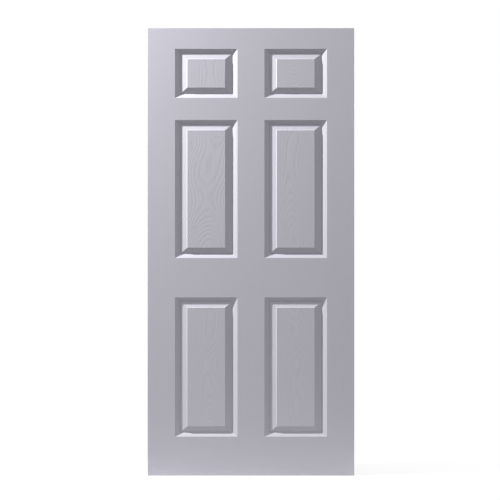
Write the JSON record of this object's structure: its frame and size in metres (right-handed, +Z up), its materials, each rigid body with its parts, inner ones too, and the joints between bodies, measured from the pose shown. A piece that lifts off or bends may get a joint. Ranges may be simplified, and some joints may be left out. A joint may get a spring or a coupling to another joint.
{
  "type": "panelled front door leaf",
  "caption": "Front door leaf with raised and fielded panels moulded into its wood-grained skins, on a timber frame with a foam core, ready to be hung on either side.",
  "frame": {"origin": "middle of the leaf's bottom edge, halfway through its thickness", "axes": "+X to the right as the front face is seen, +Y from the front face to the back face, +Z up"},
  "size_m": [0.915, 0.044, 1.981],
  "materials": {
    "skin": "embossed wood grain, factory-primed in a cool pale grey, satin",
    "softwood": "planed, bare",
    "foam": "rigid closed-cell foam",
    "steel": "galvanised wire"
  },
  "bodies": {
    "root": {"front_skin": "skin", "back_skin": "skin", "left_stile": "softwood", "right_stile": "softwood", "top_rail": "softwood", "bottom_rail": "softwood", "left_lock_block": "softwood", "right_lock_block": "softwood", "foam_core": "foam", "frame_staples": "steel"}
  },
  "joints": []
}
